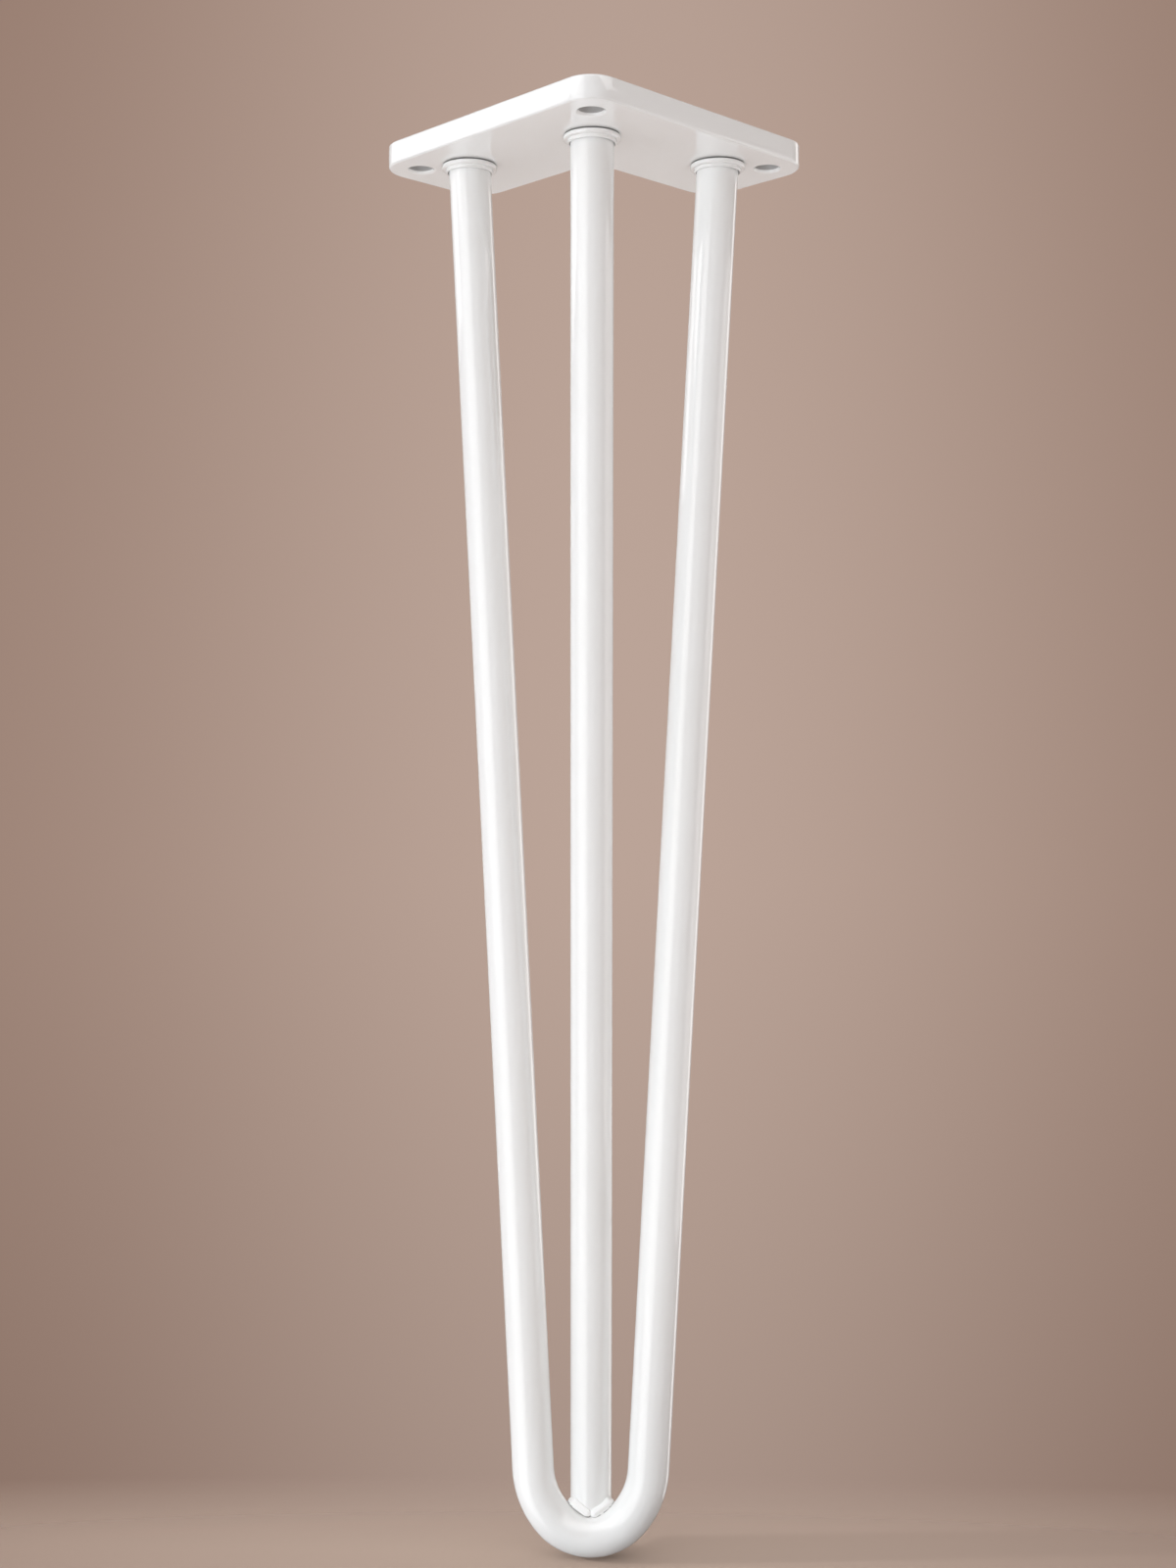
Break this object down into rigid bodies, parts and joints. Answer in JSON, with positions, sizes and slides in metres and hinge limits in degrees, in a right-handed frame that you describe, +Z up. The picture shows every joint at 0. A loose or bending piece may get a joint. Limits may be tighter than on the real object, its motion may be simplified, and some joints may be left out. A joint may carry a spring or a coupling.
{
  "type": "hairpin table leg",
  "caption": "Gloss white hairpin table leg: an L-shaped screw plate on top, a round rod bent to a hairpin, and a straight rod from the plate's corner welded behind the bend.",
  "frame": {"origin": "on the plate's top face, straight above the point where the foot meets the floor", "axes": "+Z up, out of the plate towards the table; +Y from the plate's outer corner to its open side; +X to the right, across the hairpin"},
  "size_m": [0.119, 0.0852, 0.406],
  "materials": {
    "white_coat": "gloss white powder coat on mild steel"
  },
  "bodies": {
    "root": {"mounting_plate": "white_coat", "hairpin_rod": "white_coat", "third_rod": "white_coat", "corner_collar": "white_coat", "left_collar": "white_coat", "right_collar": "white_coat", "left_foot_weld": "white_coat", "right_foot_weld": "white_coat"}
  },
  "joints": []
}
